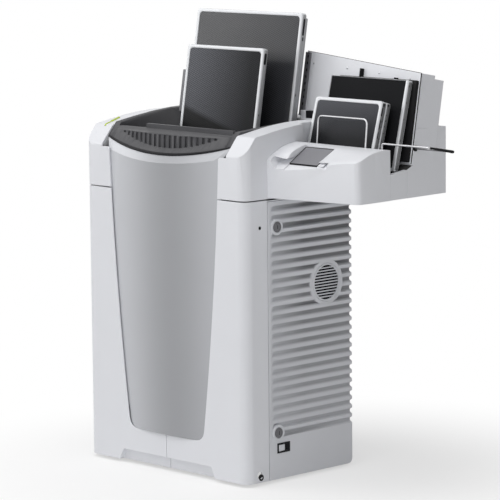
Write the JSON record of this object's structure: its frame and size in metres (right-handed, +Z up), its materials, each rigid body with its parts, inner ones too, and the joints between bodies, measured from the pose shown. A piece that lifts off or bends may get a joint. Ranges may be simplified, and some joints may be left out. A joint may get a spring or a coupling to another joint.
{
  "type": "phosphor plate scanner",
  "caption": "Floor-standing phosphor plate scanner with a leaned cassette hopper on top, an overhanging output tray at the right and a ribbed service door.",
  "frame": {"origin": "under the middle of the whole part's bounding box, on the floor", "axes": "+X to the right of a person facing the front panel, +Y towards the back, +Z up"},
  "size_m": [1.004, 0.4814, 1.185],
  "materials": {
    "white_plastic": "fine-textured white moulded plastic",
    "grey_paint": "satin grey paint on sheet metal",
    "silver_paint": "silver metallic paint on a moulded panel",
    "dark_plastic": "dark grey moulded plastic",
    "black_plastic": "black moulded plastic",
    "black_paint": "black powder coat",
    "black_rubber": "matt black rubber",
    "steel": "zinc-plated sheet steel",
    "bright_wire": "bright plated wire",
    "aluminium": "satin aluminium",
    "cassette_frame": "satin metallic grey frame",
    "cassette_sheet": "dark smooth cassette face",
    "screen": "smooth grey display cover",
    "status_lens": "translucent yellow-green lens",
    "circuit_board": "green circuit board",
    "phosphor": "white storage phosphor layer"
  },
  "bodies": {
    "machine": {"front_cover_left": "white_plastic", "front_cover_right": "white_plastic", "top_cover": "white_plastic", "input_backrest": "white_plastic", "output_front_housing": "white_plastic", "output_side_cover": "white_plastic", "output_back_plate": "white_plastic", "rear_housing": "white_plastic", "side_panel_left": "grey_paint", "rear_panel": "grey_paint", "front_panel": "silver_paint", "input_hopper": "dark_plastic", "output_tray": "dark_plastic", "connector_block": "black_plastic", "plate_edge_channel": "black_plastic", "scan_unit": "black_plastic", "drive_motor": "black_plastic", "fan_frame": "black_plastic", "base_frame": "black_paint", "rubber_strip_left": "black_rubber", "rubber_strip_right": "black_rubber", "guard_sleeve": "black_rubber", "levelling_foot_1": "black_rubber", "levelling_foot_2": "black_rubber", "levelling_foot_3": "black_rubber", "levelling_foot_4": "black_rubber", "drive_belt": "black_rubber", "transfer_belt": "black_rubber", "chassis_frame": "steel", "upright_wire": "bright_wire", "guard_wire": "bright_wire", "eraser_unit": "aluminium", "power_supply": "aluminium", "touch_screen": "screen", "status_light": "status_lens", "control_board": "circuit_board"},
    "service_door": {"side_panel_right": "grey_paint", "vent_grille": "grey_paint", "switch_frame": "black_plastic"},
    "upper_lock": {"lock_upper": "steel"},
    "lower_lock": {"lock_lower": "steel"},
    "rocker": {"power_rocker": "grey_paint"},
    "fan": {"fan_rotor": "black_plastic"},
    "upper_front_roller": {"roller_upper_front": "black_rubber"},
    "upper_rear_roller": {"roller_upper_rear": "black_rubber"},
    "lower_front_roller": {"roller_lower_front": "black_rubber"},
    "lower_rear_roller": {"roller_lower_rear": "black_rubber"},
    "motor_shaft": {"motor_pulley": "steel"},
    "pusher": {"pusher_block": "white_plastic", "pusher_bracket": "black_plastic"},
    "large_input_cassette": {"input_large": "cassette_frame", "input_large_sheet": "cassette_sheet"},
    "small_input_cassette": {"input_small": "cassette_frame", "input_small_sheet": "cassette_sheet"},
    "front_output_cassette": {"output_front": "cassette_frame", "output_front_sheet": "cassette_sheet"},
    "middle_output_cassette": {"output_middle": "cassette_frame"},
    "rear_output_cassette": {"output_rear": "cassette_frame", "output_rear_sheet": "cassette_sheet"},
    "image_plate": {"phosphor_plate": "phosphor"}
  },
  "joints": [
    {"name": "door_hinge", "type": "hinge", "parent": "machine", "child": "service_door", "pos_m": [0.09105, 0.16169, 0.366], "axis": [0, 0, 1], "range_deg": [0, 95]},
    {"name": "upper_lock_turn", "type": "hinge", "parent": "service_door", "child": "upper_lock", "pos_m": [0.09805, -0.10331, 0.658], "axis": [1, 0, 0], "range_deg": [0, 90]},
    {"name": "lower_lock_turn", "type": "hinge", "parent": "service_door", "child": "lower_lock", "pos_m": [0.09805, -0.10331, 0.128], "axis": [1, 0, 0], "range_deg": [0, 90]},
    {"name": "rocker_tilt", "type": "hinge", "parent": "service_door", "child": "rocker", "pos_m": [0.09835, -0.09271, 0.088], "axis": [0, 0, 1], "range_deg": [-8, 8]},
    {"name": "fan_spin", "type": "hinge", "parent": "machine", "child": "fan", "pos_m": [0.07005, 0.07569, 0.497], "axis": [1, 0, 0], "continuous": true},
    {"name": "motor_spin", "type": "hinge", "parent": "machine", "child": "motor_shaft", "pos_m": [-0.43695, 0.01269, 0.334], "axis": [1, 0, 0], "continuous": true},
    {"name": "upper_front_roller_spin", "type": "hinge", "parent": "machine", "child": "upper_front_roller", "pos_m": [-0.20195, -0.03561, 0.56], "axis": [1, 0, 0], "continuous": true},
    {"name": "upper_rear_roller_spin", "type": "hinge", "parent": "machine", "child": "upper_rear_roller", "pos_m": [-0.20195, -0.00701, 0.56], "axis": [1, 0, 0], "continuous": true},
    {"name": "lower_front_roller_spin", "type": "hinge", "parent": "machine", "child": "lower_front_roller", "pos_m": [-0.20195, -0.03561, 0.38], "axis": [1, 0, 0], "continuous": true},
    {"name": "lower_rear_roller_spin", "type": "hinge", "parent": "machine", "child": "lower_rear_roller", "pos_m": [-0.20195, -0.00701, 0.38], "axis": [1, 0, 0], "continuous": true},
    {"name": "pusher_travel", "type": "slide", "parent": "machine", "child": "pusher", "axis": [1, 0, 0], "range_m": [0, 0.055]},
    {"name": "large_input_lift", "type": "slide", "parent": "machine", "child": "large_input_cassette", "axis": [0, 0.165, 0.9863], "range_m": [0, 0.25]},
    {"name": "small_input_lift", "type": "slide", "parent": "machine", "child": "small_input_cassette", "axis": [0, 0.165, 0.9863], "range_m": [0, 0.25]},
    {"name": "front_output_lift", "type": "slide", "parent": "machine", "child": "front_output_cassette", "axis": [0, 0.2756, 0.9613], "range_m": [0, 0.2]},
    {"name": "middle_output_lift", "type": "slide", "parent": "machine", "child": "middle_output_cassette", "axis": [0, 0.2756, 0.9613], "range_m": [0, 0.2]},
    {"name": "rear_output_lift", "type": "slide", "parent": "machine", "child": "rear_output_cassette", "axis": [0, 0.2419, 0.9703], "range_m": [0, 0.2]},
    {"name": "image_plate_feed", "type": "slide", "parent": "machine", "child": "image_plate", "axis": [0, 0, -1], "range_m": [0, 0.05]}
  ],
  "couplings": [
    {"joint": "motor_spin", "follows": "lower_rear_roller_spin", "ratio": 1},
    {"joint": "upper_rear_roller_spin", "follows": "lower_rear_roller_spin", "ratio": 1},
    {"joint": "upper_front_roller_spin", "follows": "lower_rear_roller_spin", "ratio": -1},
    {"joint": "lower_front_roller_spin", "follows": "lower_rear_roller_spin", "ratio": -1}
  ]
}
